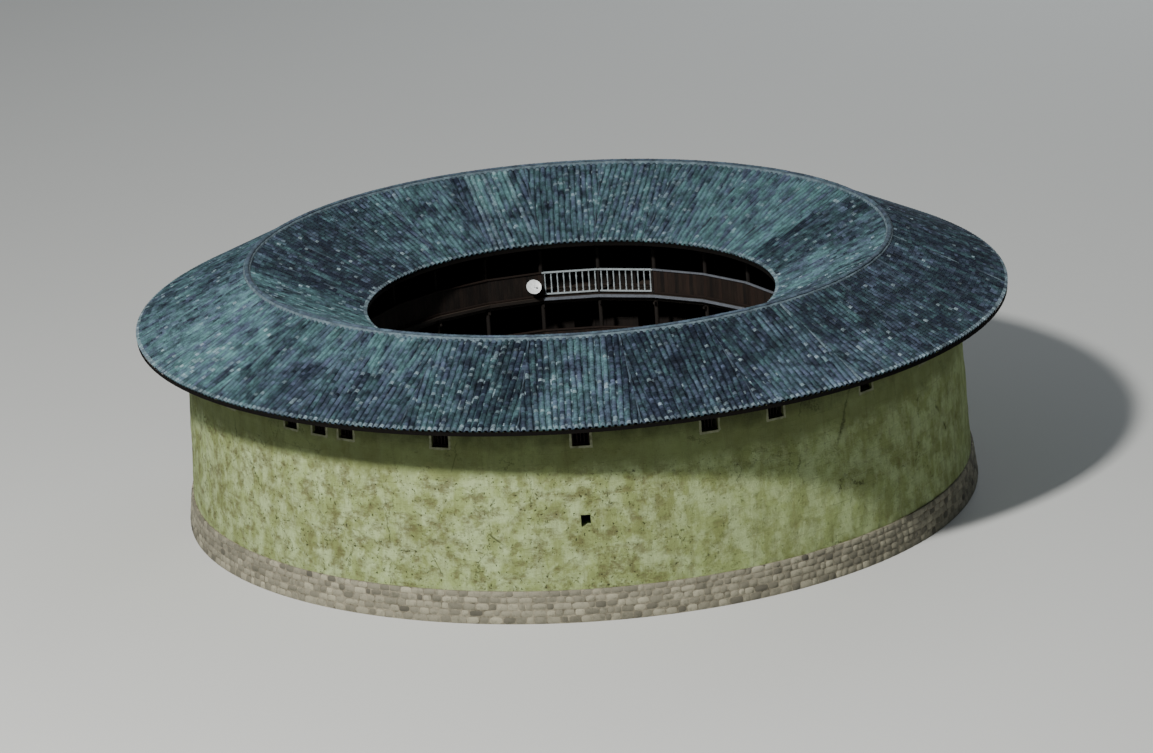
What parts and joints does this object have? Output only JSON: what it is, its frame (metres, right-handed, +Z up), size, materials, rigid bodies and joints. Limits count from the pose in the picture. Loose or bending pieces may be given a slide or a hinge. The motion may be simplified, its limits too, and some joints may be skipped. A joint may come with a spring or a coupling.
{
  "type": "round earth house",
  "caption": "Round three-storey rammed-earth house with a tiled ring roof, timber galleries round an open courtyard and one gate.",
  "frame": {"origin": "on the ground at the middle of the courtyard", "axes": "+Z up; +Y towards the gate; -Y towards the side that the picture shows"},
  "size_m": [33.9676, 33.9676, 10.11],
  "materials": {
    "rammed_earth": "rough rammed earth, pale ochre, weathered",
    "rubble_stone": "coursed river stone in lime, rough",
    "dressed_stone": "dressed granite, tooled",
    "pounded_floor": "pounded earth floor with a stone kerb",
    "dark_fir": "old fir, darkened, matt",
    "brown_board": "weathered brown fir boards, matt",
    "floor_board": "worn floorboards, matt",
    "pale_paint": "pale painted timber, worn",
    "clay_tile": "unglazed grey fired clay tile, weathered",
    "ridge_mortar": "lime mortar over ridge tiles, weathered",
    "white_enamel": "white enamelled steel, slightly chalked"
  },
  "bodies": {
    "root": {"balustrade_third": "pale_paint", "dish_aerial": "white_enamel", "earth_wall_1": "rammed_earth", "earth_wall_2": "rammed_earth", "earth_wall_3": "rammed_earth", "earth_wall_4": "rammed_earth", "earth_wall_5": "rammed_earth", "earth_wall_6": "rammed_earth", "earth_wall_7": "rammed_earth", "earth_wall_8": "rammed_earth", "earth_wall_over_gate": "rammed_earth", "floor_second": "floor_board", "floor_third": "floor_board", "footing_1": "rubble_stone", "footing_2": "rubble_stone", "footing_3": "rubble_stone", "footing_4": "rubble_stone", "gallery_ground_1": "dark_fir", "gallery_ground_2": "dark_fir", "gallery_ground_3": "dark_fir", "gallery_second_1": "dark_fir", "gallery_second_2": "dark_fir", "gallery_second_3": "dark_fir", "gallery_third_1": "dark_fir", "gallery_third_2": "dark_fir", "gallery_third_3": "dark_fir", "gate_leaf_left": "dark_fir", "gate_leaf_right": "dark_fir", "gate_portal": "dressed_stone", "ground_platform": "pounded_floor", "parapet_second": "brown_board", "parapet_third": "brown_board", "ridge_cap": "ridge_mortar", "roof_frame_1": "dark_fir", "roof_frame_2": "dark_fir", "roof_frame_3": "dark_fir", "roof_frame_4": "dark_fir", "roof_frame_5": "dark_fir", "roof_frame_6": "dark_fir", "roof_frame_7": "dark_fir", "roof_frame_8": "dark_fir", "roof_inner_1": "clay_tile", "roof_inner_2": "clay_tile", "roof_inner_3": "clay_tile", "roof_inner_4": "clay_tile", "roof_outer_1": "clay_tile", "roof_outer_2": "clay_tile", "roof_outer_3": "clay_tile", "roof_outer_4": "clay_tile", "room_front_ground_1": "brown_board", "room_front_ground_2": "brown_board", "room_front_ground_3": "brown_board", "room_front_second_1": "brown_board", "room_front_second_2": "brown_board", "room_front_second_3": "brown_board", "room_front_third_1": "brown_board", "room_front_third_2": "brown_board", "room_front_third_3": "brown_board"}
  },
  "joints": []
}
